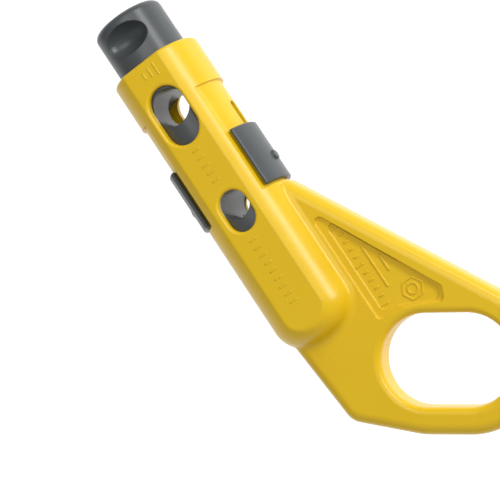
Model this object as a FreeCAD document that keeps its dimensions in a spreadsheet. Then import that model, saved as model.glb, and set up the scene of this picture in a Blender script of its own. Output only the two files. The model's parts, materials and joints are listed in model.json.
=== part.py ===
import FreeCAD, Part
import math
import os
import Sketcher

# Radial coax cable stripper with a finger loop.  Everything is drawn in barrel axes: X runs along the
# barrel, zero at the collar rim and positive towards the thumb head; Y is across, with the finger loop
# on the negative side; Z is square to the cable windows, positive to the front.  Each sub-part is then
# placed so that the tool lies on its back with the middle of its box over the origin.

doc = FreeCAD.newDocument("cable_stripper")
sheet = doc.addObject("Spreadsheet::Sheet", "Sheet")

driving = {
    # barrel
    "barrel_radius": 13.35,
    "face_land": 0.9436,          # large window's side to the edge of the flat face
    "barrel_length": 91.0,
    "barrel_nose": 9.0,           # rounding of the closed end
    "face_rounding": 1.4,
    "rim_rounding": 1.0,
    "collar_length": 14.4,
    "bore_radius": 10.55,
    "bore_depth": 72.2,
    "spring_bore_radius": 7.9,
    "end_wall": 3.6,
    # cable windows
    "large_window_start": 8.6,
    "large_window_end": 26.4,
    "large_window_width": 10.6,
    "small_window_start": 43.2,
    "small_window_end": 55.4,
    "small_window_width": 8.6,
    "window_rounding": 0.8,
    # side recesses, clips and slots
    "recess_depth": 0.75,
    "recess_end": 48.4,
    "recess_edge": 8.8,           # axis to the step's outer corner, across the barrel
    "recess_top": 10.3,           # axis to the step's outer corner, front to back
    "recess_foot": 8.05,          # axis to the foot of the step, front to back
    "slot_width": 3.2,
    "slot_start": 21.4,
    "clip_start": 29.6,
    "clip_length": 18.1,
    "clip_rise": 1.0,             # how far a clip stands out of the collar's radius
    "clip_half_height": 9.8,
    "clip_gap": 0.12,
    "clip_rounding": 0.5,
    "clip_edge": 1.0,             # tongue end to clip end
    "tongue_thickness": 2.9,
    "tongue_reach": 7.4,          # axis to the tongue's tip
    "tongue_clearance": 0.05,
    "bump_radius": 1.5,
    "bump_height": 0.7,
    "bump_rounding": 0.5,
    "bump_place": 11.4,           # clip's upper end to the bump's middle
    "clip_foot_gap": 0.25,
    # web and finger loop
    "web_half_thickness": 5.0,
    "web_rounding": 3.2,
    "web_length": 41.5,           # web's shoulder to the barrel's end
    "web_shoulder": 14.3,
    "web_left": 11.3,
    "barrel_blend": 2.5,          # hollow rounding where the barrel meets the web
    "heel_step": 22.5,            # barrel's end to the heel's corner
    "heel_side": 8.6,
    "heel_rounding": 6.0,
    "loop_step": 23.6,            # barrel's end to the loop's middle
    "loop_drop": 10.35,           # barrel's side to the loop's middle
    "loop_angle": 57.0,
    "loop_half_gap": 5.7,
    "loop_hole_radius": 12.7,
    "loop_wall": 7.6,
    "loop_rounding": 2.0,
    "web_recess": 0.7,
    "pad_recess": 0.4,
    "field_start": 8.5,           # shoulder to the field's pointed end
    "field_gap": 0.9,             # barrel's side to the field
    "field_nose_gap": 4.5,        # start of the barrel's nose to the field's corner beside it
    "recess_corner": 1.5,
    "recess_softness": 0.3,
    # plunger
    "slide_clearance": 0.1,
    "head_height": 15.4,
    "head_rounding": 2.0,
    "plunger_end": 71.0,
    "large_hole_radius": 5.35,
    "large_saddle": 20.2,         # bottom of the large saddle
    "small_hole_radius": 4.35,
    "small_saddle": 51.5,         # bottom of the small saddle
    "relief_half_width": 8.2,
    "relief_front": 1.5,
    "scoop_place": 8.2,           # rim to the middle of the thumb scoops
    "scoop_half_length": 4.4,
    "scoop_half_width": 7.2,
    "scoop_depth": 5.6,
    # return spring
    "spring_wire": 1.1,
    "spring_coil_radius": 6.0,
    "spring_turns": 7.0,
    "spring_gap": 0.03,
    # cassettes
    "saddle_wall": 2.6,
    "cassette_clearance": 0.1,
    "cassette_front_inset": 3.35,  # bore to the cassettes' front
    "cassette_back_inset": 2.25,   # bore to the cassettes' back
    "cassette_corner_gap": 0.31,   # bore to the large cassette's corners
    "large_cassette_length": 17.8,
    "small_cassette_length": 15.0,
    "cassette_floor": 3.6,
    "small_cassette_width": 10.4,
    "blade_thickness": 0.45,
    "blade_spacing": 6.35,
    "blade_width": 8.0,
    "blade_side_play": 0.04,
    "blade_travel": 0.4,
    "slit_width": 0.8,
    "slit_play": 0.2,
    "slit_rise": 3.0,             # slit top above the saddle
    "jacket_cut": 1.0,            # blade tip above the saddle
    "core_cut": 2.4,
    "edge_bevel": 0.7,
    "screw_radius": 0.95,
    "screw_head_radius": 1.75,
    "screw_head_height": 1.2,
    "screw_pitch": 5.0,           # between a cassette's two clamp screws
    "screw_inset": 3.2,
    "screw_play": 0.05,
    "screw_tip": 1.0,             # screw tip to the block's back
    "hex_socket": 1.3,
    "hex_depth": 0.9,
    "adjuster_radius": 1.25,
    "adjuster_length": 3.3,
    "adjuster_play": 0.03,
    "tip_gap": 0.02,              # adjusting screw tip to blade tail
}
# sizes that follow from others
tied = {
    "face_height": "sqrt(barrel_radius^2 - (large_window_width / 2 + face_land)^2)",
    "web_start": "(barrel_length - web_length)",
    "heel_back": "(barrel_length + heel_step)",
    "loop_center": "(barrel_length + loop_step)",
    "loop_offset": "(barrel_radius + loop_drop)",
}
for row, (alias, number) in enumerate(driving.items(), start=1):
    sheet.set("A%d" % row, alias)
    sheet.set("B%d" % row, str(number))
    sheet.setAlias("B%d" % row, alias)
doc.recompute()


def on_sheet(expression):
    """Write the sheet's name in front of each of its aliases, and the tied sizes in full."""
    words = []
    word = ""
    for letter in expression + " ":
        if letter.isalnum() or letter == "_":
            word += letter
            continue
        if word in tied:
            words.append(on_sheet(tied[word]))
        else:
            words.append("Sheet." + word if word in driving else word)
        words.append(letter)
        word = ""
    return "".join(words).strip()


def value(expression):
    """Number that an expression on the sheet stands for."""
    result = sheet.evalExpression(on_sheet(expression))
    return result.Value if hasattr(result, "Value") else float(result)


def bind(thing, **expressions):
    """Bind properties to expressions on the sheet; a double underscore stands for a dot."""
    for name, expression in expressions.items():
        thing.setExpression(name.replace("__", "."), on_sheet(expression))


# Places of the sub-parts in the tool's own frame.
cassette_front = "(bore_radius - cassette_front_inset)"
cassette_back = "(bore_radius - cassette_back_inset)"
cassette_half = {
    "large": "sqrt((bore_radius - cassette_corner_gap)^2 - %s^2)" % cassette_back,
    "small": "small_cassette_width / 2",
}
loop_reach = "(loop_offset + loop_half_gap * sin(loop_angle * 1 deg) + loop_hole_radius + loop_wall)"
loop_end = "(loop_center + loop_half_gap * cos(loop_angle * 1 deg) + loop_hole_radius + loop_wall)"
clip_radius = "(barrel_radius + clip_rise)"
frame_x = "(%s - head_height) / 2" % loop_end
frame_y = "(%s - %s) / 2" % (loop_reach, clip_radius)
finished = []


def finish(thing, label):
    """Name a sub-part and move it from barrel axes to the tool's frame."""
    thing.Label = label
    bind(thing, Placement__Base__x=frame_x, Placement__Base__y=frame_y, Placement__Base__z="face_height")
    finished.append(thing)
    return thing


def new_body(name):
    body = doc.addObject("PartDesign::Body", name)
    return body


def new_sketch(body, name, plane, offset=None):
    """Sketch on one of the body's own origin planes, moved along its normal by an expression."""
    sketch = body.newObject("Sketcher::SketchObject", name)
    origin_plane = [o for o in body.Origin.OriginFeatures if o.Role == plane][0]
    sketch.AttachmentSupport = [(origin_plane, "")]
    sketch.MapMode = "FlatFace"
    if offset:
        bind(sketch, AttachmentOffset__Base__z=offset)
    return sketch


def hold(sketch, kind, *arguments):
    """Add a constraint; a last argument that is text binds its size to the sheet."""
    expression = None
    if isinstance(arguments[-1], str):
        expression = arguments[-1]
        arguments = arguments[:-1] + (value(expression),)
    index = sketch.addConstraint(Sketcher.Constraint(kind, *arguments))
    if expression:
        sketch.setExpression("Constraints[%d]" % index, on_sheet(expression))
    return index


def place_point(sketch, geometry, end, x, y):
    hold(sketch, "DistanceX", -1, 1, geometry, end, x)
    hold(sketch, "DistanceY", -1, 1, geometry, end, y)


def point(x, y):
    return FreeCAD.Vector(value(x), value(y), 0)


def draw_polygon(sketch, corners):
    """Closed outline through corners that are pairs of expressions."""
    first = sketch.GeometryCount
    points = [point(x, y) for x, y in corners]
    for start, end in zip(points, points[1:] + points[:1]):
        sketch.addGeometry(Part.LineSegment(start, end), False)
    count = len(corners)
    for side in range(count):
        hold(sketch, "Coincident", first + side, 2, first + (side + 1) % count, 1)
    for side, (x, y) in enumerate(corners):
        place_point(sketch, first + side, 1, x, y)


def draw_circle(sketch, x, y, radius):
    index = sketch.addGeometry(Part.Circle(point(x, y), FreeCAD.Vector(0, 0, 1), value(radius)), False)
    place_point(sketch, index, 3, x, y)
    hold(sketch, "Radius", index, radius)


def draw_slot(sketch, first_center, second_center, radius):
    """Round-ended slot round two centres."""
    start, end = point(*first_center), point(*second_center)
    size = value(radius)
    along = math.atan2(end.y - start.y, end.x - start.x)
    side = FreeCAD.Vector(-math.sin(along), math.cos(along), 0) * size
    normal = FreeCAD.Vector(0, 0, 1)
    first = sketch.GeometryCount
    quarter = math.pi / 2
    sketch.addGeometry(Part.ArcOfCircle(Part.Circle(start, normal, size), along + quarter,
                                        along + 3 * quarter), False)
    sketch.addGeometry(Part.LineSegment(start - side, end - side), False)
    sketch.addGeometry(Part.ArcOfCircle(Part.Circle(end, normal, size), along - quarter,
                                        along + quarter), False)
    sketch.addGeometry(Part.LineSegment(end + side, start + side), False)
    hold(sketch, "Tangent", first, 2, first + 1, 1)
    hold(sketch, "Tangent", first + 1, 2, first + 2, 1)
    hold(sketch, "Tangent", first + 2, 2, first + 3, 1)
    hold(sketch, "Tangent", first + 3, 2, first, 1)
    place_point(sketch, first, 3, *first_center)
    place_point(sketch, first + 2, 3, *second_center)
    hold(sketch, "Radius", first, radius)


def pad(body, sketch, name, length, middle=False, backwards=False):
    feature = body.newObject("PartDesign::Pad", name)
    feature.Profile = sketch
    feature.Midplane = middle
    feature.Reversed = backwards
    bind(feature, Length=length)
    doc.recompute()
    return feature


def pocket(body, sketch, name, length, middle=False, backwards=False):
    """Cut a sketch out of the body, and stop if it cuts nothing."""
    doc.recompute()
    before = body.Shape.Volume
    feature = body.newObject("PartDesign::Pocket", name)
    feature.Profile = sketch
    feature.Midplane = middle
    feature.Reversed = backwards
    bind(feature, Length=length)
    doc.recompute()
    if body.Shape.Volume > before - 1e-3:
        raise ValueError("%s cuts nothing" % name)
    return feature


def round_edges(body, name, radius, wanted):
    """Fillet the edges of the body's tip that the test picks."""
    doc.recompute()
    tip = body.Tip
    names = ["Edge%d" % (i + 1) for i, edge in enumerate(tip.Shape.Edges) if wanted(edge)]
    if not names:
        raise ValueError("%s finds no edges" % name)
    feature = body.newObject("PartDesign::Fillet", name)
    feature.Base = (tip, names)
    bind(feature, Radius=radius)
    doc.recompute()
    if not feature.isValid():
        raise ValueError("%s cannot be rounded" % name)
    return feature


def middle_of(edge):
    return edge.valueAt((edge.FirstParameter + edge.LastParameter) / 2)


def flat_at(edge, axis, level):
    """Whether an edge lies in a plane square to an axis."""
    ends = [vertex.Point[axis] for vertex in edge.Vertexes] + [middle_of(edge)[axis]]
    return all(abs(end - level) < 0.02 for end in ends)


# ---- body shell ---------------------------------------------------------------------------------
def draw_web(sketch, near, far, radius):
    """Outline of the web and loop: shoulder, outer edge, round the loop's end, heel, left edge."""
    normal = FreeCAD.Vector(0, 0, 1)
    size = value(radius)
    near_center, far_center = point(*near), point(*far)
    corners = {
        "inner": ("-web_start", "web_left - 2"),
        "shoulder": ("-web_start", "-web_shoulder"),
        "heel": ("-heel_back", "heel_side"),
        "left": ("barrel_nose - barrel_length", "web_left"),
    }
    inner, shoulder, heel, left = [point(*corner) for corner in corners.values()]

    def touch_angle(corner, center, side):
        away = corner - center
        return math.atan2(away.y, away.x) + side * math.acos(size / away.Length)

    def on_circle(center, angle):
        return center + FreeCAD.Vector(math.cos(angle), math.sin(angle), 0) * size

    along = math.atan2(far_center.y - near_center.y, far_center.x - near_center.x)
    under = along - math.pi / 2
    shoulder_touch = touch_angle(shoulder, far_center, -1)
    heel_touch = touch_angle(heel, near_center, 1)
    sketch.addGeometry([
        Part.LineSegment(inner, shoulder),
        Part.LineSegment(shoulder, on_circle(far_center, shoulder_touch)),
        Part.ArcOfCircle(Part.Circle(far_center, normal, size), under, shoulder_touch),
        Part.LineSegment(on_circle(far_center, under), on_circle(near_center, under)),
        Part.ArcOfCircle(Part.Circle(near_center, normal, size), heel_touch, under + 2 * math.pi),
        Part.LineSegment(on_circle(near_center, heel_touch), heel),
        Part.LineSegment(heel, left),
        Part.LineSegment(left, inner),
    ], False)
    hold(sketch, "Coincident", 0, 2, 1, 1)
    hold(sketch, "Tangent", 1, 2, 2, 2)
    hold(sketch, "Tangent", 2, 1, 3, 1)
    hold(sketch, "Tangent", 3, 2, 4, 2)
    hold(sketch, "Tangent", 4, 1, 5, 1)
    hold(sketch, "Coincident", 5, 2, 6, 1)
    hold(sketch, "Coincident", 6, 2, 7, 1)
    hold(sketch, "Coincident", 7, 2, 0, 1)
    place_point(sketch, 0, 1, *corners["inner"])
    place_point(sketch, 0, 2, *corners["shoulder"])
    place_point(sketch, 6, 1, *corners["heel"])
    place_point(sketch, 6, 2, *corners["left"])
    place_point(sketch, 2, 3, *far)
    place_point(sketch, 4, 3, *near)
    hold(sketch, "Radius", 2, radius)
    hold(sketch, "Radius", 4, radius)


def make_body_shell():
    body = new_body("Shell")
    across = "loop_half_gap * sin(loop_angle * 1 deg)"
    down = "loop_half_gap * cos(loop_angle * 1 deg)"
    near = ("-loop_center + " + down, "-loop_offset + " + across)
    far = ("-loop_center - " + down, "-loop_offset - " + across)

    # web and finger loop
    web_sketch = new_sketch(body, "WebOutline", "XY_Plane")
    draw_web(web_sketch, near, far, "loop_hole_radius + loop_wall")
    draw_slot(web_sketch, near, far, "loop_hole_radius")
    pad(body, web_sketch, "Web", "2 * web_half_thickness", middle=True)
    face = value("web_half_thickness")
    hole_middle = point("-loop_center", "-loop_offset")
    hole_reach = value("loop_half_gap + loop_hole_radius")
    heel = point("-heel_back", "heel_side")

    def at_heel(edge):
        return abs(middle_of(edge).x - heel.x) < 0.1 and abs(middle_of(edge).y - heel.y) < 0.1

    def on_web_face(edge):
        return flat_at(edge, 2, face) or flat_at(edge, 2, -face)

    def round_hole(edge):
        place = middle_of(edge)
        return math.hypot(place.x - hole_middle.x, place.y - hole_middle.y) < hole_reach + 0.1

    round_edges(body, "HeelRound", "heel_rounding", at_heel)
    shoulder = value("-web_start")
    round_edges(body, "WebRound", "web_rounding",
                lambda edge: on_web_face(edge) and not round_hole(edge) and not flat_at(edge, 0, shoulder))
    round_edges(body, "LoopRound", "loop_rounding",
                lambda edge: on_web_face(edge) and round_hole(edge))

    # barrel, turned, then flattened front and back
    profile = new_sketch(body, "BarrelProfile", "XY_Plane")
    nose_center = point("barrel_nose - barrel_length", "barrel_radius - barrel_nose")
    nose = Part.Circle(nose_center, FreeCAD.Vector(0, 0, 1), value("barrel_nose"))
    rim = point("0", "barrel_radius")
    shoulder = point("barrel_nose - barrel_length", "barrel_radius")
    end_round = point("-barrel_length", "barrel_radius - barrel_nose")
    end = point("-barrel_length", "0")
    profile.addGeometry([
        Part.LineSegment(FreeCAD.Vector(0, 0, 0), rim),
        Part.LineSegment(rim, shoulder),
        Part.ArcOfCircle(nose, math.pi / 2, math.pi),
        Part.LineSegment(end_round, end),
        Part.LineSegment(end, FreeCAD.Vector(0, 0, 0)),
    ], False)
    hold(profile, "Coincident", 0, 1, -1, 1)
    hold(profile, "Coincident", 0, 2, 1, 1)
    hold(profile, "Tangent", 1, 2, 2, 1)
    hold(profile, "Tangent", 2, 2, 3, 1)
    hold(profile, "Coincident", 3, 2, 4, 1)
    hold(profile, "Coincident", 4, 2, 0, 1)
    hold(profile, "Vertical", 0)
    hold(profile, "Horizontal", 1)
    hold(profile, "Vertical", 3)
    hold(profile, "Radius", 2, "barrel_nose")
    place_point(profile, 2, 3, "barrel_nose - barrel_length", "barrel_radius - barrel_nose")
    barrel = body.newObject("PartDesign::Revolution", "Barrel")
    barrel.Profile = profile
    barrel.ReferenceAxis = (profile, ["H_Axis"])
    barrel.Angle = 360
    doc.recompute()
    flats = new_sketch(body, "Flats", "YZ_Plane", "1")
    for up in ("", "-"):
        low, high = up + "face_height", up + "(barrel_radius + 1)"
        draw_polygon(flats, [("-barrel_radius - 1", low), ("barrel_radius + 1", low),
                             ("barrel_radius + 1", high), ("-barrel_radius - 1", high)])
    pocket(body, flats, "FlatFaces", "barrel_length + 2")
    front = value("face_height")

    def on_face(edge):
        return flat_at(edge, 2, front) or flat_at(edge, 2, -front)

    def foot_of_barrel(edge):
        return flat_at(edge, 2, face) and middle_of(edge).x > value("barrel_nose - barrel_length") \
            and abs(middle_of(edge).y) < value("barrel_radius")

    round_edges(body, "BarrelBlend", "barrel_blend", foot_of_barrel)
    round_edges(body, "FaceRound", "face_rounding", lambda edge: on_face(edge) and not flat_at(edge, 0, 0))

    # cable windows
    windows = new_sketch(body, "Windows", "XY_Plane")
    for size in ("large", "small"):
        half = "%s_window_width / 2" % size
        draw_slot(windows, ("-%s_window_start - %s" % (size, half), "0"),
                  ("-%s_window_end + %s" % (size, half), "0"), half)
    pocket(body, windows, "CableWindows", "2 * face_height + 2", middle=True)
    window_half = value("large_window_width / 2") + 0.05
    wall = value("bore_radius")
    last = value("-small_window_end") - 0.1

    def at_window(edge):
        place = middle_of(edge)
        inside = all(abs(vertex.Point[1]) < window_half and vertex.Point[0] < -1 for vertex in edge.Vertexes)
        return inside and abs(place.z) > wall and place.x > last

    round_edges(body, "WindowRound", "window_rounding", at_window)

    # bores, open at the collar rim
    for name, radius, depth in (("Bore", "bore_radius", "bore_depth"),
                                ("SpringBore", "spring_bore_radius", "barrel_length - end_wall")):
        circle = new_sketch(body, name + "Circle", "YZ_Plane")
        draw_circle(circle, "0", "0", radius)
        pocket(body, circle, name, depth)
    round_edges(body, "RimRound", "rim_rounding",
                lambda edge: flat_at(edge, 0, 0) and math.hypot(*middle_of(edge)[1:]) > wall + 0.3)

    # side recesses below the collar, and the slots in their floors
    floor = "(barrel_radius - recess_depth)"
    recess = new_sketch(body, "Recesses", "YZ_Plane", "-collar_length")
    foot = "recess_foot"
    for side in ("", "-"):
        first = recess.GeometryCount
        floor_radius = value(floor)
        turn = math.asin(value(foot) / floor_radius)
        middle = 0 if not side else math.pi
        circle = Part.Circle(FreeCAD.Vector(0, 0, 0), FreeCAD.Vector(0, 0, 1), floor_radius)
        recess.addGeometry(Part.ArcOfCircle(circle, middle - turn, middle + turn), False)
        ends = ("", "-") if side else ("-", "")
        corners = [(side + "recess_edge", ends[1] + "recess_top"),
                   (side + "(barrel_radius + 2)", ends[1] + "recess_top"),
                   (side + "(barrel_radius + 2)", ends[0] + "recess_top"),
                   (side + "recess_edge", ends[0] + "recess_top")]
        reach = math.sqrt(floor_radius ** 2 - value(foot) ** 2) * (-1 if side else 1)
        start = FreeCAD.Vector(reach, value(ends[0] + foot), 0)
        stop = FreeCAD.Vector(reach, value(ends[1] + foot), 0)
        route = [stop] + [point(*corner) for corner in corners] + [start]
        for one, other in zip(route, route[1:]):
            recess.addGeometry(Part.LineSegment(one, other), False)
        hold(recess, "Coincident", first, 2, first + 1, 1)
        for step in range(1, 5):
            hold(recess, "Coincident", first + step, 2, first + step + 1, 1)
            place_point(recess, first + step, 2, *corners[step - 1])
        hold(recess, "Coincident", first + 5, 2, first, 1)
        hold(recess, "Coincident", first, 3, -1, 1)
        hold(recess, "Radius", first, floor)
        hold(recess, "DistanceY", -1, 1, first, 1, ends[0] + foot)
        hold(recess, "DistanceY", -1, 1, first, 2, ends[1] + foot)
    pocket(body, recess, "SideRecesses", "recess_end - collar_length")
    slots = new_sketch(body, "SideSlotOutline", "XZ_Plane")
    draw_slot(slots, ("-slot_start - slot_width / 2", "0"),
              ("-clip_start - clip_length + slot_width / 2", "0"), "slot_width / 2")
    pocket(body, slots, "SideSlots", "2 * barrel_radius + 2", middle=True)

    # lower field of the web inside its raised outer edge, and the plain pad in it
    for name, sign, backwards in (("Front", "", False), ("Back", "-", True)):
        field = new_sketch(body, name + "FieldOutline", "XY_Plane", sign + "web_half_thickness")
        draw_polygon(field, web_field)
        pocket(body, field, name + "Field", "web_recess", backwards=backwards)
        floor_level = sign + "(web_half_thickness - web_recess)"
        soften_recess(body, name + "Field", sign + "web_half_thickness", floor_level)
        label = new_sketch(body, name + "PadOutline", "XY_Plane", floor_level)
        draw_polygon(label, label_pad)
        pocket(body, label, name + "Pad", "pad_recess", backwards=backwards)
        soften_recess(body, name + "Pad", floor_level, floor_level + " - %spad_recess" % sign)
    return finish(body, "body_shell")


def soften_recess(body, name, top, floor):
    """Round a recess's upright corners, then its foot."""
    high, low = value(top), value(floor)

    def upright(edge):
        place = middle_of(edge)
        corners = sorted((vertex.Point for vertex in edge.Vertexes), key=lambda corner: corner[2])
        wanted = [(place.x, place.y, level) for level in sorted((low, high))]
        return len(corners) == 2 and all(math.dist(*pair) < 0.01 for pair in zip(corners, wanted))

    round_edges(body, name + "Corners", "recess_corner", upright)
    round_edges(body, name + "Foot", "recess_softness", lambda edge: flat_at(edge, 2, low))


# corners of the web's lower field and of the pad in it, from the shoulder, the barrel or the loop
web_field = [
    ("-web_start - field_start", "-barrel_radius - field_gap"),
    ("-loop_center + 17.2", "-loop_offset - 10.7"),
    ("-loop_center + 13.2", "-loop_offset - 8.9"),
    ("-loop_center + 15.9", "-loop_offset - 3.5"),
    ("-loop_center + 18.2", "-loop_offset + 2.1"),
    ("-loop_center + 19.0", "-loop_offset + 9.4"),
    ("barrel_nose - barrel_length - field_nose_gap", "-barrel_radius - field_gap"),
]
label_pad = [
    ("-web_start - 17.0", "-barrel_radius - 3.0"),
    ("-web_start - 16.6", "-barrel_radius - 6.6"),
    ("-loop_center + 17.2", "-loop_offset - 9.5"),
    ("-loop_center + 14.4", "-loop_offset - 7.8"),
    ("-loop_center + 19.7", "-loop_offset + 3.1"),
    ("-loop_center + 21.2", "-barrel_radius - 3.0"),
]


# ---- plunger --------------------------------------------------------------------------------------
def make_plunger():
    body = new_body("PlungerBody")
    circle = new_sketch(body, "PlungerCircle", "YZ_Plane", "head_height")
    draw_circle(circle, "0", "0", "bore_radius - slide_clearance")
    pad(body, circle, "Rod", "head_height + plunger_end", backwards=True)
    round_edges(body, "HeadRound", "head_rounding",
                lambda edge: flat_at(edge, 0, value("head_height")))

    holes = new_sketch(body, "CableHoles", "XY_Plane")
    for size in ("large", "small"):
        draw_circle(holes, "%s_hole_radius - %s_saddle" % (size, size), "0", size + "_hole_radius")
    pocket(body, holes, "CableHolesCut", "2 * bore_radius + 2", middle=True)
    relief = new_sketch(body, "ReliefOutline", "XY_Plane", "-relief_front")
    draw_slot(relief, ("large_hole_radius - large_saddle", "large_hole_radius - relief_half_width"),
              ("large_hole_radius - large_saddle", "relief_half_width - large_hole_radius"),
              "large_hole_radius")
    pocket(body, relief, "Relief", "bore_radius")

    # cassette pockets, open to the back, and the slits that let the blades into the saddles
    chambers = new_sketch(body, "CassettePockets", "XY_Plane", cassette_front)
    slits = new_sketch(body, "BladeSlits", "XZ_Plane")
    for size in ("large", "small"):
        top = "-%s_saddle - saddle_wall" % size
        bottom = "%s - %s_cassette_length - 2 * cassette_clearance" % (top, size)
        half = cassette_half[size]
        draw_polygon(chambers, [(top, half), (bottom, half), (bottom, "-" + half), (top, "-" + half)])
        for side in ("", "-"):
            low = "%sblade_spacing / 2 - slit_width / 2" % side
            high = "%sblade_spacing / 2 + slit_width / 2" % side
            above = "slit_rise - %s_saddle" % size
            below = top + " - 0.2"
            draw_polygon(slits, [(below, low), (above, low), (above, high), (below, high)])
    pocket(body, chambers, "CassettePocketCut", cassette_front + " + bore_radius + 1")
    pocket(body, slits, "BladeSlitCut", "blade_width + 2 * slit_play", middle=True)

    # side pockets for the clips' tongues
    for name, offset, backwards in (("Right", "tongue_reach - tongue_clearance", True),
                                    ("Left", "tongue_clearance - tongue_reach", False)):
        seat = new_sketch(body, name + "TongueSeat", "XZ_Plane", offset)
        draw_tongue(seat, "tongue_clearance")
        pocket(body, seat, name + "TongueCut", "bore_radius", backwards=backwards)

    # thumb scoops, front and back
    for name, side in (("Front", ""), ("Back", "-")):
        scoop = body.newObject("PartDesign::SubtractiveEllipsoid", name + "Scoop")
        bind(scoop, Radius1="scoop_depth", Radius2="scoop_half_length", Radius3="scoop_half_width",
             Placement__Base__x="scoop_place", Placement__Base__z=side + "bore_radius")
        doc.recompute()
    return finish(body, "plunger")


def draw_tongue(sketch, gap):
    """Round-ended outline of a clip's tongue, grown by a gap."""
    end = "(clip_edge + tongue_thickness / 2)"
    draw_slot(sketch, ("-clip_start - " + end, "0"), ("-clip_start - clip_length + " + end, "0"),
              "tongue_thickness / 2 + " + gap)


# ---- side clips -----------------------------------------------------------------------------------
def make_side_clip(label, right):
    """Grey clip that wraps one side of the barrel; its tongue reaches through the slot."""
    body = new_body(label)
    plate = new_sketch(body, "Plate", "YZ_Plane", "-clip_start")
    outer, inner = clip_radius, "(barrel_radius - recess_depth + clip_gap)"
    outer_height, inner_height = "clip_half_height", "(recess_foot - clip_foot_gap)"
    middle = math.pi if right else 0
    side = "-" if right else ""
    normal = FreeCAD.Vector(0, 0, 1)
    for radius, height in ((outer, outer_height), (inner, inner_height)):
        size = value(radius)
        turn = math.asin(value(height) / size)
        plate.addGeometry(Part.ArcOfCircle(Part.Circle(FreeCAD.Vector(), normal, size),
                                           middle - turn, middle + turn), False)
    ends = [arc.EndPoint for arc in plate.Geometry] + [arc.StartPoint for arc in plate.Geometry]
    plate.addGeometry(Part.LineSegment(ends[0], ends[1]), False)
    plate.addGeometry(Part.LineSegment(ends[3], ends[2]), False)
    for arc, line_end in ((0, 1), (1, 2)):
        hold(plate, "Coincident", arc, 2, 2, line_end)
        hold(plate, "Coincident", arc, 1, 3, 3 - line_end)
        hold(plate, "Coincident", arc, 3, -1, 1)
    for arc, radius, height in ((0, outer, outer_height), (1, inner, inner_height)):
        hold(plate, "Radius", arc, radius)
        hold(plate, "DistanceY", -1, 1, arc, 2, side + height)
        hold(plate, "DistanceY", -1, 1, arc, 1, ("" if right else "-") + height)
    pad(body, plate, "PlatePad", "clip_length", backwards=True)
    edge_radius = value(clip_radius) - 0.05
    round_edges(body, "PlateRound", "clip_rounding",
                lambda edge: math.hypot(*middle_of(edge)[1:]) > edge_radius)

    reach = "tongue_reach" if right else "-tongue_reach"
    tongue = new_sketch(body, "TongueOutline", "XZ_Plane", reach)
    draw_tongue(tongue, "0")
    pad(body, tongue, "Tongue", "barrel_radius - recess_depth + clip_gap + 0.4 - tongue_reach",
        backwards=not right)
    outer_face = "(%s + bump_height)" % clip_radius
    bump = new_sketch(body, "BumpOutline", "XZ_Plane", outer_face if right else "-" + outer_face)
    draw_circle(bump, "-clip_start - bump_place", "0", "bump_radius")
    pad(body, bump, "Bump", "bump_height + 0.8", backwards=right)
    top = value(outer_face) * (-1 if right else 1)
    round_edges(body, "BumpRound", "bump_rounding", lambda edge: flat_at(edge, 1, top))
    return finish(body, label)


# ---- primitives in barrel axes ----------------------------------------------------------------------
def new_box(name, x_low, x_high, y_half, z_low, z_high):
    box = doc.addObject("Part::Box", name)
    bind(box, Length="(%s) - (%s)" % (x_high, x_low), Width="2 * (%s)" % y_half,
         Height="(%s) - (%s)" % (z_high, z_low), Placement__Base__x=x_low,
         Placement__Base__y="-(%s)" % y_half, Placement__Base__z=z_low)
    return box


def new_cylinder(name, radius, height, x, z, along_x=False):
    cylinder = doc.addObject("Part::Cylinder", name)
    if along_x:
        cylinder.Placement.Rotation = FreeCAD.Rotation(FreeCAD.Vector(0, 1, 0), 90)
    bind(cylinder, Radius=radius, Height=height, Placement__Base__x=x, Placement__Base__z=z)
    return cylinder


def new_hexagon(name, height, x, z, along_x=False):
    """Hexagonal key socket, its size across the flats taken from the sheet."""
    prism = doc.addObject("Part::Prism", name)
    prism.Polygon = 6
    if along_x:
        prism.Placement.Rotation = FreeCAD.Rotation(FreeCAD.Vector(0, 1, 0), 90)
    bind(prism, Circumradius="hex_socket / sqrt(3)", Height=height,
         Placement__Base__x=x, Placement__Base__z=z)
    return prism


def fuse(name, pieces):
    joined = doc.addObject("Part::MultiFuse", name)
    joined.Shapes = pieces
    return joined


def cut(name, base, tools):
    """Take the tools away from the base, and stop if nothing goes."""
    tool = tools[0] if len(tools) == 1 else fuse(name + "Tools", tools)
    result = doc.addObject("Part::Cut", name)
    result.Base, result.Tool = base, tool
    doc.recompute()
    if result.Shape.Volume > base.Shape.Volume - 1e-3:
        raise ValueError("%s cuts nothing" % name)
    return result


# ---- return spring ----------------------------------------------------------------------------------
wire_sides = 16  # the round wire's section is swept as a fine polygon


def make_return_spring():
    helix = doc.addObject("Part::Helix", "SpringLine")
    height = "barrel_length - end_wall - plunger_end - spring_wire - 2 * spring_gap"
    bind(helix, Radius="spring_coil_radius", Height=height, Pitch="(%s) / spring_turns" % height)
    wire = doc.addObject("Part::RegularPolygon", "SpringWire")
    wire.Polygon = wire_sides
    bind(wire, Circumradius="spring_wire / 2", Placement__Base__x="spring_coil_radius")
    wire.Placement.Rotation = FreeCAD.Rotation(FreeCAD.Vector(1, 0, 0), 90)
    sweep = doc.addObject("Part::Sweep", "SpringSweep")
    sweep.Sections = [wire]
    sweep.Spine = (helix, ["Edge1"])
    sweep.Solid = True
    sweep.Frenet = True
    sweep.Placement.Rotation = FreeCAD.Rotation(FreeCAD.Vector(0, 1, 0), 90)
    bind(sweep, Placement__Base__x="end_wall - barrel_length + spring_wire / 2 + spring_gap")
    spring = doc.addObject("Part::Compound", "Spring")
    spring.Links = [sweep]
    return finish(spring, "return_spring")


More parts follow.
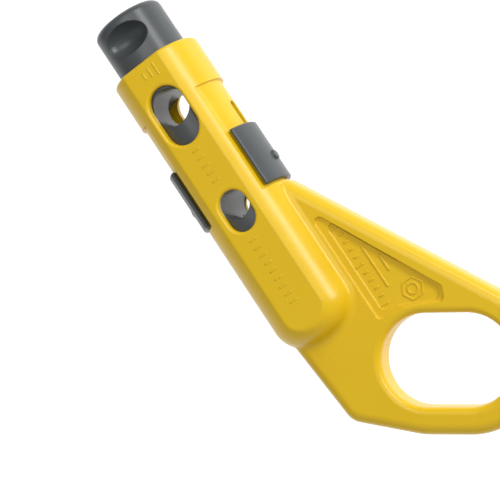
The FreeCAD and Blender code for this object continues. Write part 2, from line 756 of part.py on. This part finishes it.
# ---- blade cassettes ----------------------------------------------------------------------------------
def make_cassette(size):
    """Block, spacer and cover that clamp two blades, with their screws; stacked front to back."""
    top = "-(%s_saddle + saddle_wall + cassette_clearance)" % size
    bottom = "(%s - %s_cassette_length)" % (top, size)
    floor = "(%s + cassette_floor)" % bottom
    half = "(%s - cassette_clearance)" % cassette_half[size]
    back, front = "-" + cassette_back, "(%s - cassette_clearance)" % cassette_front
    play = "(blade_thickness / 2 + blade_side_play)"
    screws = ["(%s - screw_inset)" % top, "(%s - screw_inset - screw_pitch)" % top]
    blade_faces = [("core", "-blade_spacing / 2"), ("jacket", "blade_spacing / 2")]
    tail = "(%s + blade_travel + 0.1)" % floor
    clear_of_tips = "(%s + blade_travel + 0.2)" % tail

    def screw_holes(name, x_gap="screw_play"):
        return [new_cylinder("%s%s%d" % (size, name, i), "screw_radius + " + x_gap, "2 * bore_radius", x,
                             back + " + screw_tip - screw_play")
                for i, x in enumerate(screws)]

    # block: a back plate and the floor that carries the adjusting screws
    plate = new_box(size + "Plate", bottom, top, half, back, "-blade_spacing / 2 - " + play)
    step = new_box(size + "Floor", bottom, floor, half, "-blade_spacing / 2 - %s - 1" % play, front)
    sockets = [new_cylinder("%s%sThread" % (size, name), "adjuster_radius + adjuster_play",
                            "cassette_floor + 2", bottom + " - 1", z, along_x=True)
               for name, z in blade_faces]
    block = cut(size + "Block", fuse(size + "BlockSolid", [plate, step]), sockets + screw_holes("BlockHole"))
    finish(block, size + "_cassette_block")

    spacer = new_box(size + "SpacerBox", clear_of_tips, top, half,
                     "%s - blade_spacing / 2" % play, "blade_spacing / 2 - " + play)
    finish(cut(size + "Spacer", spacer, screw_holes("SpacerHole")), size + "_cassette_spacer")

    cover = new_box(size + "CoverBox", clear_of_tips, top, half, "blade_spacing / 2 + " + play, front)
    heads = [new_cylinder("%sHeadSeat%d" % (size, i), "screw_head_radius + screw_play",
                          "screw_head_height + 1", x, front + " - screw_head_height - 0.1")
             for i, x in enumerate(screws)]
    finish(cut(size + "Cover", cover, screw_holes("CoverHole") + heads), size + "_cassette_cover")

    # clamp screws, through the cover, blades and spacer into the block
    pair = []
    for i, x in enumerate(screws):
        start = back + " + screw_tip"
        head = front + " - 0.1 - screw_head_height"
        shank = new_cylinder("%sShank%d" % (size, i), "screw_radius",
                             "(%s) - (%s) + 0.3" % (head, start), x, start)
        cap = new_cylinder("%sHead%d" % (size, i), "screw_head_radius", "screw_head_height", x, head)
        key = new_hexagon("%sKey%d" % (size, i), "hex_depth + 1",
                          x, front + " - 0.1 - hex_depth")
        pair.append(cut("%sScrew%d" % (size, i), fuse("%sScrewSolid%d" % (size, i), [shank, cap]), [key]))
    screws_pair = doc.addObject("Part::Compound", size + "Screws")
    screws_pair.Links = pair
    finish(screws_pair, size + "_clamp_screws")

    for name, z in blade_faces:
        make_blade(size, name, z, tail, screws)
        rod = new_cylinder("%s%sRod" % (size, name), "adjuster_radius", "adjuster_length",
                           "(%s - adjuster_length - tip_gap)" % tail, z, along_x=True)
        key = new_hexagon("%s%sAdjusterKey" % (size, name), "hex_depth + 1",
                          "(%s - adjuster_length - tip_gap - 1)" % tail, z, along_x=True)
        finish(cut("%s%sAdjuster" % (size, name), rod, [key]), "%s_%s_adjuster" % (size, name))


def make_blade(size, name, z, tail, screws):
    """Thin steel blade with one ground edge and two adjusting slots."""
    body = new_body("%s%sBlade" % (size, name))
    edge = "(%s_cut - %s_saddle)" % (name, size)
    low, high = z + " - blade_thickness / 2", z + " + blade_thickness / 2"
    side = new_sketch(body, "Side", "XZ_Plane")
    draw_polygon(side, [(tail, low), (edge, low), (edge + " - edge_bevel", high), (tail, high)])
    pad(body, side, "Plate", "blade_width", middle=True)
    slots = new_sketch(body, "AdjustingSlots", "XY_Plane", low + " - 1")
    for x in screws:
        draw_slot(slots, (x + " - blade_travel", "0"), (x + " + blade_travel", "0"), "screw_radius + 0.1")
    pocket(body, slots, "SlotCut", "blade_thickness + 2", backwards=True)
    finish(body, "%s_%s_blade" % (size, name))


make_body_shell()
make_plunger()
make_return_spring()
make_side_clip("side_clip_right", right=True)
make_side_clip("side_clip_left", right=False)
make_cassette("large")
make_cassette("small")

doc.recompute()
faults = [o.Name for o in doc.Objects if "Invalid" in o.State or "Error" in o.State]
faults += [p.Label for p in finished if p.Shape.isNull() or not p.Shape.isValid()]
if faults:
    raise ValueError("failed: " + ", ".join(faults))
os.makedirs("parts", exist_ok=True)
for part in finished:
    part.Shape.exportStep("parts/%s.step" % part.Label)
    box = part.Shape.BoundBox
    print("%-26s %7.1f %7.1f %7.1f %7.1f %7.1f %7.1f  %9.1f mm3" % (
        part.Label, box.XMin, box.XMax, box.YMin, box.YMax, box.ZMin, box.ZMax, part.Shape.Volume))
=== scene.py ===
import json
import bpy
import bmesh
from mathutils import Matrix, Vector


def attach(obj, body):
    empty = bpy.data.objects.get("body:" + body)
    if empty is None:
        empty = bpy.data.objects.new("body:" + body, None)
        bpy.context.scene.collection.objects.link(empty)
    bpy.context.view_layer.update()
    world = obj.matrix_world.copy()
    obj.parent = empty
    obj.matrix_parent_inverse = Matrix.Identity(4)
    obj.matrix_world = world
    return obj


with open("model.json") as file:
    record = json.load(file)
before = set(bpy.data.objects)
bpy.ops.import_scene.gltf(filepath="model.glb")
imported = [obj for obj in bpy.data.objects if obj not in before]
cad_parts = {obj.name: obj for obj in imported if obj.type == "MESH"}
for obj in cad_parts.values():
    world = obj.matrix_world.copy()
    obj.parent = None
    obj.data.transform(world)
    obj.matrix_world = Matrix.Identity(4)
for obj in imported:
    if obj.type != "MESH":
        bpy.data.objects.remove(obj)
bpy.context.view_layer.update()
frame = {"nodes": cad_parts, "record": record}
print("frame loaded:", len(frame["nodes"]), "nodes")

scene = bpy.context.scene
scene.view_settings.view_transform = "Standard"


# node groups that several materials share

def newGroup(name, inputs, outputs):
    group = bpy.data.node_groups.new(name, "ShaderNodeTree")
    for label, value in inputs:
        socket = group.interface.new_socket(label, in_out="INPUT", socket_type="NodeSocketFloat")
        socket.default_value = value
    for label, kind in outputs:
        group.interface.new_socket(label, in_out="OUTPUT", socket_type=kind)
    return group, group.nodes.new("NodeGroupInput"), group.nodes.new("NodeGroupOutput")


def addNode(tree, kind, **settings):
    node = tree.nodes.new(kind)
    for key, value in settings.items():
        setattr(node, key, value)
    return node


def feed(tree, socket, item):
    # a number sets the socket, anything else is linked to it
    if isinstance(item, (int, float, tuple)):
        socket.default_value = item
    else:
        tree.links.new(item, socket)


def addMath(tree, operation, *items, clamp=False):
    node = addNode(tree, "ShaderNodeMath", operation=operation, use_clamp=clamp)
    for index, item in enumerate(items):
        feed(tree, node.inputs[index], item)
    return node.outputs[0]


def addNoise(tree, vector, scale, detail=3.0, roughness=0.5):
    noise = addNode(tree, "ShaderNodeTexNoise")
    for label, item in (("Vector", vector), ("Scale", scale), ("Detail", detail), ("Roughness", roughness)):
        feed(tree, noise.inputs[label], item)
    return noise.outputs["Fac"]


def addStretch(tree, vector, scale):
    mapping = addNode(tree, "ShaderNodeMapping")
    mapping.inputs["Scale"].default_value = scale
    tree.links.new(vector, mapping.inputs["Vector"])
    return mapping.outputs["Vector"]


def buildMouldedSkin():
    # fine spark-eroded grain, slow mottling and a few rub marks of an injection moulding
    group, entry, leave = newGroup("mouldedSkin", [("Grain Scale", 2600.0), ("Mottle Scale", 55.0)],
                                   [("Grain", "NodeSocketFloat"), ("Mottle", "NodeSocketFloat"),
                                    ("Scuff", "NodeSocketFloat")])
    place = addNode(group, "ShaderNodeTexCoord").outputs["Object"]
    grain = addNoise(group, place, entry.outputs["Grain Scale"], 2.0)
    mottle = addNoise(group, place, entry.outputs["Mottle Scale"], 4.0, 0.6)
    rubs = addNoise(group, addStretch(group, place, (90.0, 1400.0, 700.0)), 1.0, 5.0, 0.65)
    patches = addNoise(group, place, 120.0, 2.0)
    scuff = addMath(group, "MULTIPLY", addMath(group, "SUBTRACT", rubs, 0.60, clamp=True), 5.0, clamp=True)
    scuff = addMath(group, "MULTIPLY", scuff, addMath(group, "SUBTRACT", patches, 0.35, clamp=True))
    for label, item in (("Grain", grain), ("Mottle", mottle), ("Scuff", scuff)):
        group.links.new(item, leave.inputs[label])
    return group


def buildEdgeWear():
    # how far a point is from the middle of a face, read from rounded and plain normals
    group, entry, leave = newGroup("edgeWear", [("Width", 0.0006), ("Breakup Scale", 700.0)],
                                   [("Edge", "NodeSocketFloat"), ("Normal", "NodeSocketVector")])
    bevel = addNode(group, "ShaderNodeBevel", samples=6)
    group.links.new(entry.outputs["Width"], bevel.inputs["Radius"])
    plain = addNode(group, "ShaderNodeNewGeometry").outputs["Normal"]
    product = addNode(group, "ShaderNodeVectorMath", operation="DOT_PRODUCT")
    group.links.new(bevel.outputs["Normal"], product.inputs[0])
    group.links.new(plain, product.inputs[1])
    turn = addMath(group, "SUBTRACT", 1.0, product.outputs["Value"], clamp=True)
    place = addNode(group, "ShaderNodeTexCoord").outputs["Object"]
    breakup = addNoise(group, place, entry.outputs["Breakup Scale"], 4.0, 0.65)
    edge = addMath(group, "MULTIPLY", addMath(group, "MULTIPLY", turn, 5.0, clamp=True), breakup, clamp=True)
    group.links.new(edge, leave.inputs["Edge"])
    group.links.new(bevel.outputs["Normal"], leave.inputs["Normal"])
    return group


mouldedSkin = buildMouldedSkin()
edgeWear = buildEdgeWear()


def placeGroup(tree, group, **values):
    node = addNode(tree, "ShaderNodeGroup", node_tree=group)
    for label, value in values.items():
        node.inputs[label.replace("_", " ")].default_value = value
    return node


def mixColour(tree, share, first, second):
    mix = addNode(tree, "ShaderNodeMix", data_type="RGBA")
    feed(tree, mix.inputs[0], share)
    feed(tree, mix.inputs[6], first)
    feed(tree, mix.inputs[7], second)
    return mix.outputs[2]


def spread(tree, item, low, high):
    # carries 0..1 over to low..high
    ranged = addNode(tree, "ShaderNodeMapRange")
    for label, value in (("Value", item), ("To Min", low), ("To Max", high)):
        feed(tree, ranged.inputs[label], value)
    return ranged.outputs["Result"]


def newMaterial(name):
    material = bpy.data.materials.new(name)
    material.use_nodes = True
    tree = material.node_tree
    shader = tree.nodes["Principled BSDF"]
    return material, tree, shader


def addBump(tree, shader, height, distance, strength=1.0, normal=None):
    bump = addNode(tree, "ShaderNodeBump")
    bump.inputs["Strength"].default_value = strength
    bump.inputs["Distance"].default_value = distance
    tree.links.new(height, bump.inputs["Height"])
    if normal is not None:
        tree.links.new(normal, bump.inputs["Normal"])
    tree.links.new(bump.outputs["Normal"], shader.inputs["Normal"])


def mouldedPlastic(name, finish):
    material, tree, shader = newMaterial(name)
    skin = placeGroup(tree, mouldedSkin, Grain_Scale=finish["grainScale"])
    wear = placeGroup(tree, edgeWear, Width=finish["edgeWidth"])
    base = mixColour(tree, skin.outputs["Mottle"], finish["deep"], finish["colour"])
    base = mixColour(tree, addMath(tree, "MULTIPLY", wear.outputs["Edge"], finish["wear"]), base, finish["worn"])
    tree.links.new(base, shader.inputs["Base Color"])
    rough = spread(tree, skin.outputs["Mottle"], finish["rough"][0], finish["rough"][1])
    rough = addMath(tree, "ADD", rough, addMath(tree, "MULTIPLY", skin.outputs["Scuff"], 0.3), clamp=True)
    tree.links.new(rough, shader.inputs["Roughness"])
    shader.inputs["Specular IOR Level"].default_value = finish["specular"]
    addBump(tree, shader, skin.outputs["Grain"], finish["grainDepth"], 0.5, wear.outputs["Normal"])
    return material


yellowFinish = {
    "colour": (0.86, 0.57, 0.010, 1.0), "deep": (0.80, 0.50, 0.007, 1.0), "worn": (0.90, 0.66, 0.06, 1.0),
    "rough": (0.24, 0.33), "specular": 0.45, "wear": 0.35, "edgeWidth": 0.0004,
    "grainScale": 2600.0, "grainDepth": 0.00003,
}
greyFinish = {
    "colour": (0.078, 0.087, 0.091, 1.0), "deep": (0.060, 0.068, 0.072, 1.0), "worn": (0.16, 0.175, 0.18, 1.0),
    "rough": (0.26, 0.38), "specular": 0.5, "wear": 0.6, "edgeWidth": 0.0004,
    "grainScale": 3000.0, "grainDepth": 0.00002,
}
darkFinish = {
    "colour": (0.030, 0.032, 0.034, 1.0), "deep": (0.022, 0.024, 0.025, 1.0), "worn": (0.08, 0.08, 0.085, 1.0),
    "rough": (0.38, 0.5), "specular": 0.5, "wear": 0.5, "edgeWidth": 0.0003,
    "grainScale": 3000.0, "grainDepth": 0.00002,
}


def groundSteel(name, finish):
    material, tree, shader = newMaterial(name)
    place = addNode(tree, "ShaderNodeTexCoord").outputs["Object"]
    lines = addNoise(tree, addStretch(tree, place, finish["lines"]), 1.0, 5.0, 0.7)
    film = addNoise(tree, place, 260.0, 3.0)
    wear = placeGroup(tree, edgeWear, Width=finish["edgeWidth"])
    base = mixColour(tree, film, finish["colour"], finish["film"])
    base = mixColour(tree, wear.outputs["Edge"], base, finish["worn"])
    tree.links.new(base, shader.inputs["Base Color"])
    tree.links.new(spread(tree, lines, finish["rough"][0], finish["rough"][1]), shader.inputs["Roughness"])
    shader.inputs["Metallic"].default_value = 1.0
    addBump(tree, shader, lines, finish["lineDepth"], 0.5, wear.outputs["Normal"])
    return material


bladeFinish = {"colour": (0.62, 0.62, 0.63, 1), "film": (0.50, 0.49, 0.47, 1), "worn": (0.8, 0.8, 0.8, 1),
               "lines": (3000.0, 300.0, 300.0), "rough": (0.18, 0.35), "lineDepth": 0.00001, "edgeWidth": 0.0001}
screwFinish = {"colour": (0.20, 0.20, 0.205, 1), "film": (0.14, 0.135, 0.13, 1), "worn": (0.5, 0.5, 0.5, 1),
               "lines": (900.0, 900.0, 900.0), "rough": (0.3, 0.5), "lineDepth": 0.00001, "edgeWidth": 0.00015}
springFinish = {"colour": (0.55, 0.55, 0.56, 1), "film": (0.42, 0.41, 0.40, 1), "worn": (0.7, 0.7, 0.7, 1),
                "lines": (500.0, 1200.0, 1200.0), "rough": (0.2, 0.38), "lineDepth": 0.00001, "edgeWidth": 0.0001}

materials = {
    "body_yellow": mouldedPlastic("yellowMoulding", yellowFinish),
    "grey_plastic": mouldedPlastic("greyMoulding", greyFinish),
    "cassette_plastic": mouldedPlastic("cassetteMoulding", darkFinish),
    "blade_steel": groundSteel("bladeSteel", bladeFinish),
    "screw_steel": groundSteel("blackedScrew", screwFinish),
    "spring_steel": groundSteel("springWire", springFinish),
}
slotOf = {part["node"]: part["material_slot"] for part in frame["record"]["subparts"]}
for nodeName, node in frame["nodes"].items():
    for holder in node.material_slots:
        holder.material = materials[slotOf[nodeName]]
print("materials on", len(slotOf), "nodes")


# raised marks moulded on the yellow body: rows of plain bars, no lettering

markFacts = {
    "faceLevel": 0.0236, "faceRise": 0.00012, "padLevel": 0.0157, "padRise": 0.00025, "sunk": 0.0002,
    "thickness": 0.0006, "softness": 0.00012,
    # rows: middle, length, bar height, number of bars, and a tall bar after every so many
    "faceRows": [((0.0272, 0.0172), 0.0100, 0.0024, 5, 1), ((-0.0071, 0.0178), 0.0200, 0.0024, 9, 1)],
    "padRows": [((-0.0189, -0.0009), 0.0250, 0.0026, 11, 5)],
    "padLines": [((-0.0213, -0.0044), 0.0135), ((-0.0218, -0.0072), 0.0056)],
    "rimBars": [(0.0574, 0.0140, 0.0040), (0.0574, 0.0160, 0.0030), (0.0574, 0.0180, 0.0020)],
    "nut": {"middle": (-0.0322, -0.0098), "radius": 0.0034, "hole": 0.0017, "sides": 6,
            "holeSides": 32, "width": 0.0005},
}


def addBar(shape, middle, size, level, rise):
    # one bar, its top edges softened
    sunk = markFacts["sunk"]
    made = bmesh.ops.create_cube(shape, size=1.0)
    bmesh.ops.scale(shape, vec=(size[0], size[1], rise + sunk), verts=made["verts"])
    bmesh.ops.translate(shape, vec=(middle[0], middle[1], level + (rise - sunk) / 2), verts=made["verts"])
    top = [edge for edge in {e for v in made["verts"] for e in v.link_edges}
           if all(vertex.co.z > level for vertex in edge.verts)]
    bmesh.ops.bevel(shape, geom=top, offset=markFacts["softness"], offset_type="OFFSET", segments=2,
                    profile=0.5, affect="EDGES", material=-1)


def addRing(shape, middle, radius, width, sides, level, rise):
    sunk = markFacts["sunk"]
    rings = []
    for size in (radius, radius - width):
        made = bmesh.ops.create_circle(shape, cap_ends=False, segments=sides, radius=size,
                                       matrix=Matrix.Translation((middle[0], middle[1], level - sunk)))
        rings.append({edge for vertex in made["verts"] for edge in vertex.link_edges})
    band = bmesh.ops.bridge_loops(shape, edges=list(rings[0] | rings[1]))["faces"]
    raised = bmesh.ops.extrude_face_region(shape, geom=band)["geom"]
    lifted = [item for item in raised if isinstance(item, bmesh.types.BMVert)]
    bmesh.ops.translate(shape, vec=(0.0, 0.0, rise + sunk), verts=lifted)
    top = [edge for edge in {e for v in lifted for e in v.link_edges}
           if all(vertex.co.z > level for vertex in edge.verts) and len(edge.link_faces) == 2
           and edge.calc_face_angle(0.0) > 0.8]
    bmesh.ops.bevel(shape, geom=top, offset=markFacts["softness"], offset_type="OFFSET", segments=2,
                    profile=0.5, affect="EDGES", material=-1)


def addRow(shape, row, level, rise):
    # like the scale on a rule, every few bars a taller one
    (x, y), length, height, count, tallEvery = row
    for index in range(count):
        along = x + length * (index / (count - 1) - 0.5)
        tall = height if index % tallEvery == 0 else height * 0.55
        addBar(shape, (along, y - (height - tall) / 2), (markFacts["thickness"], tall), level, rise)


def finishMarks(shape, name):
    bmesh.ops.recalc_face_normals(shape, faces=shape.faces)
    mesh = bpy.data.meshes.new(name)
    shape.to_mesh(mesh)
    shape.free()
    marks = bpy.data.objects.new(name, mesh)
    scene.collection.objects.link(marks)
    mesh.materials.append(materials["body_yellow"])
    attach(marks, "shell")


def buildFaceMarks():
    level, rise = markFacts["faceLevel"], markFacts["faceRise"]
    shape = bmesh.new()
    for row in markFacts["faceRows"]:
        addRow(shape, row, level, rise)
    for x, y, length in markFacts["rimBars"]:
        addBar(shape, (x, y), (length, markFacts["thickness"]), level, rise)
    finishMarks(shape, "faceMarks")


def buildPadMarks():
    level, rise = markFacts["padLevel"], markFacts["padRise"]
    shape = bmesh.new()
    for row in markFacts["padRows"]:
        addRow(shape, row, level, rise)
    for middle, length in markFacts["padLines"]:
        addBar(shape, middle, (length, markFacts["thickness"]), level, rise)
    nut = markFacts["nut"]
    addRing(shape, nut["middle"], nut["radius"], nut["width"], nut["sides"], level, rise)
    addRing(shape, nut["middle"], nut["hole"], nut["width"], nut["holeSides"], level, rise)
    finishMarks(shape, "padMarks")


buildFaceMarks()
buildPadMarks()
print("raised marks built")


# stage: floor, lights and camera

def areaLight(name, place, target, size, power, colour=(1.0, 1.0, 1.0)):
    light = bpy.data.lights.new(name, "AREA")
    light.shape = "RECTANGLE"
    light.size, light.size_y = size
    light.energy = power
    light.color = colour
    holder = bpy.data.objects.new(name, light)
    scene.collection.objects.link(holder)
    holder.location = place
    holder.rotation_euler = (Vector(target) - Vector(place)).to_track_quat("-Z", "Y").to_euler()
    return holder


def buildFloor():
    shape = bmesh.new()
    bmesh.ops.create_grid(shape, x_segments=1, y_segments=1, size=3.0,
                          matrix=Matrix.Translation((0.0, 0.0, stageFacts["floorLevel"])))
    mesh = bpy.data.meshes.new("floor")
    shape.to_mesh(mesh)
    shape.free()
    floor = bpy.data.objects.new("floor", mesh)
    scene.collection.objects.link(floor)
    material, tree, shader = newMaterial("paleFloor")
    place = addNode(tree, "ShaderNodeTexCoord").outputs["Object"]
    tone = addNoise(tree, place, 30.0, 3.0)
    tree.links.new(mixColour(tree, tone, (0.86, 0.86, 0.86, 1), (0.89, 0.89, 0.89, 1)), shader.inputs["Base Color"])
    shader.inputs["Roughness"].default_value = 0.8
    shader.inputs["Emission Color"].default_value = (1.0, 1.0, 1.0, 1.0)
    shader.inputs["Emission Strength"].default_value = stageFacts["floorGlow"]
    mesh.materials.append(material)


stageFacts = {
    "target": (0.0, 0.0, 0.012),
    "floorLevel": -0.16,
    "floorGlow": 0.5,
    "key": ((0.08, -0.52, 0.26), (0.55, 0.13), 2.3),
    "fill": ((-0.45, 0.35, 0.45), (0.6, 0.6), 0.25),
    "top": ((0.25, -0.25, 0.85), (0.6, 0.6), 2.2),
}
cameraFacts = {
    "place": (-0.0950, -0.1883, 0.6340),
    "looks": (0.1507, 0.3174, -0.9363),
    "up": (0.8248, -0.5624, -0.0579),
    "lens": 172.8,
}
for lightName in ("key", "fill", "top"):
    lightPlace, lightSize, lightPower = stageFacts[lightName]
    areaLight(lightName + "Light", lightPlace, stageFacts["target"], lightSize, lightPower)
buildFloor()

world = bpy.data.worlds.new("studio")
scene.world = world
world.use_nodes = True
world.node_tree.nodes["Background"].inputs["Color"].default_value = (1.0, 1.0, 1.0, 1.0)
world.node_tree.nodes["Background"].inputs["Strength"].default_value = 0.36

cameraData = bpy.data.cameras.new("camera")
cameraData.lens = cameraFacts["lens"]
cameraData.sensor_width = 36.0
cameraData.clip_start = 0.01
camera = bpy.data.objects.new("camera", cameraData)
scene.collection.objects.link(camera)
back = -Vector(cameraFacts["looks"]).normalized()
right = Vector(cameraFacts["up"]).cross(back).normalized()
upward = back.cross(right)
turn = Matrix((right, upward, back)).transposed()
camera.matrix_world = Matrix.Translation(cameraFacts["place"]) @ turn.to_4x4()
scene.camera = camera
print("stage set")
